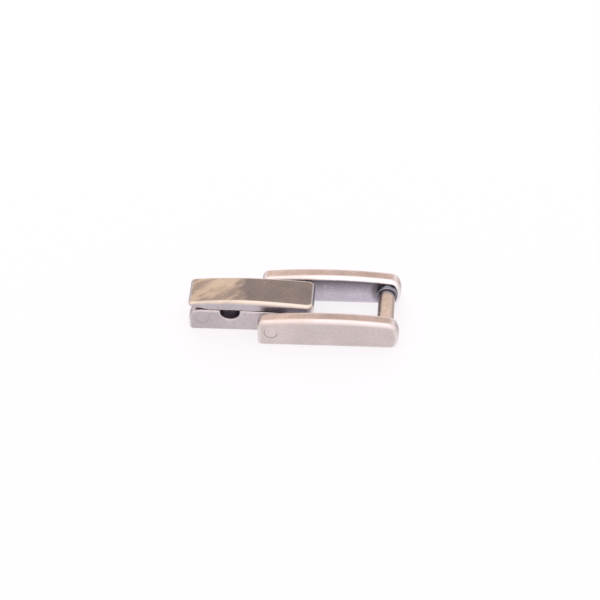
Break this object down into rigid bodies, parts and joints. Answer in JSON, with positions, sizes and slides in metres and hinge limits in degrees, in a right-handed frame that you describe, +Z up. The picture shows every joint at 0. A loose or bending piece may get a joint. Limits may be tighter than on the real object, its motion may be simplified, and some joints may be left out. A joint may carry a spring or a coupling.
{
  "type": "fold-over bracelet extension clasp",
  "caption": "Fold-over extension clasp for a bracelet: a notched tongue under a hinged cover, pivoted in a crowned two-rail frame that is closed by a round end bar.",
  "frame": {"origin": "on the table, under the middle of the whole clasp as it lies closed and unfolded", "axes": "+X from the tongue's tip to the end bar, +Y from the front rail to the rear rail, +Z up"},
  "size_m": [0.0266, 0.0104, 0.0046],
  "materials": {
    "rail": "antiqued plated casting, tumbled to a satin",
    "bar": "antiqued plated rod, rubbed bright on top",
    "pin": "antiqued plated rivet, filed flush",
    "tongue": "antiqued plated casting, tumbled to a satin",
    "cover": "antiqued plated casting, warm brown patina rubbed back to a pale edge"
  },
  "bodies": {
    "tongue": {"tongue": "tongue", "hinge_pin": "pin"},
    "frame": {"front_rail": "rail", "rear_rail": "rail", "end_bar": "bar", "pivot_pin": "pin"},
    "cover": {"cover": "cover"}
  },
  "joints": [
    {"name": "frame_pivot", "type": "hinge", "parent": "tongue", "child": "frame", "pos_m": [-0.0027, 0, 0.00198], "axis": [0, -1, 0], "range_deg": [-180, 180]},
    {"name": "cover_hinge", "type": "hinge", "parent": "tongue", "child": "cover", "pos_m": [-0.01157, 0, 0.0019], "axis": [0, -1, 0], "range_deg": [0, 45]}
  ]
}
